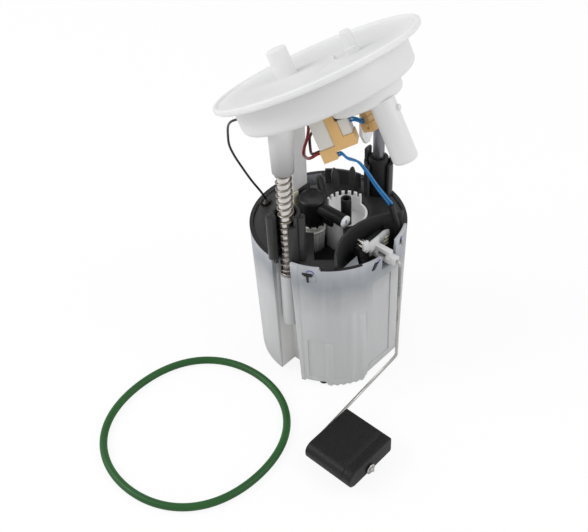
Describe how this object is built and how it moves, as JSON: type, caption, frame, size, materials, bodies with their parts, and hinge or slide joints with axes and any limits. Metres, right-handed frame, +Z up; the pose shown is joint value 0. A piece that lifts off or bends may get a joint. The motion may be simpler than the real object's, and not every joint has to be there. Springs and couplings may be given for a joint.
{
  "type": "in-tank fuel pump module",
  "caption": "Sprung tank flange on two guide rods over a flat-sided reservoir cup with fuel pump, float level sender and leads; a loose sealing ring lies beside it.",
  "frame": {"origin": "centre of the reservoir cup's foot, on the ground", "axes": "+Z up along the cup; +X towards the cup's flat side and the float arm; guide rods at plus and minus Y"},
  "size_m": [0.2067, 0.291, 0.3005],
  "materials": {
    "cup_plastic": "satin, translucent",
    "black_rubber": "matte",
    "mesh": "woven",
    "black_plastic": "satin",
    "cream_plastic": "satin",
    "white_plastic": "satin",
    "brass": "satin",
    "filter_paper": "pleated",
    "steel": "drawn",
    "magnet": "matte",
    "copper": "wound",
    "grey_plastic": "satin",
    "cream_rubber": "matte",
    "dark_steel": "tarnished",
    "ceramic": "matte",
    "float_foam": "matte",
    "spring_steel": "polished",
    "rod_steel": "polished",
    "flange_plastic": "satin, translucent",
    "beige_plastic": "satin",
    "tan_plastic": "satin",
    "black_wire": "satin",
    "blue_wire": "satin",
    "red_wire": "satin",
    "brown_wire": "satin",
    "green_rubber": "matte"
  },
  "bodies": {
    "reservoir_unit": {"reservoir": "cup_plastic", "rubber_feet": "black_rubber", "inlet_valve": "black_rubber", "inlet_strainer": "mesh", "jet_pump": "black_plastic", "cover": "black_plastic", "front_sleeve": "cup_plastic", "rear_bush": "black_rubber", "blade_guide": "cream_plastic", "regulator_cup": "white_plastic", "regulator_body": "brass", "return_tube": "black_plastic", "fuel_filter": "filter_paper", "filter_housing": "black_plastic", "pump_can": "steel", "pump_inlet_cap": "black_plastic", "pump_outlet_cap": "black_plastic", "pump_magnets": "magnet", "pump_holder": "grey_plastic", "isolator_ring": "cream_rubber", "outlet_cap": "black_plastic", "pipe_plug": "white_plastic", "ground_terminal": "dark_steel", "sender_bracket": "black_plastic", "sender_card": "ceramic", "sender_contacts": "cream_plastic", "lead_sleeve": "black_rubber", "spring": "spring_steel", "black_lead": "black_wire", "blue_leads": "blue_wire", "sealing_ring": "green_rubber"},
    "flange_unit": {"flange": "flange_plastic", "flange_neck": "flange_plastic", "guide_rods": "rod_steel", "plug_housing": "beige_plastic", "plug_shell": "tan_plastic", "lead_connector": "tan_plastic", "jumper_leads": "blue_wire", "red_lead": "red_wire", "brown_lead": "brown_wire"},
    "float_arm": {"sender_rotor": "white_plastic", "wiper_contacts": "cream_plastic", "arm_wire": "steel", "push_washer": "steel"},
    "float_block": {"float": "float_foam"},
    "pump_rotor": {"pump_armature": "copper", "pump_impeller": "cream_plastic"}
  },
  "joints": [
    {"name": "flange_slide", "type": "slide", "parent": "reservoir_unit", "child": "flange_unit", "axis": [0, 0, 1], "range_m": [-0.0355, 0], "stiffness_N_per_m": 350, "springref_m": 0.04, "deforming": ["spring", "black_lead", "blue_leads"]},
    {"name": "float_arm_swing", "type": "hinge", "parent": "reservoir_unit", "child": "float_arm", "pos_m": [0.05, 0, 0.1225], "axis": [-1, 0, 0], "range_deg": [0, 75]},
    {"name": "float_pivot", "type": "hinge", "parent": "float_arm", "child": "float_block", "pos_m": [0.0955, -0.0905, 0.011], "axis": [1, 0, 0], "continuous": true},
    {"name": "pump_rotor_spin", "type": "hinge", "parent": "reservoir_unit", "child": "pump_rotor", "pos_m": [-0.0084, -0.008, 0.05], "axis": [0, 0, 1], "continuous": true}
  ]
}
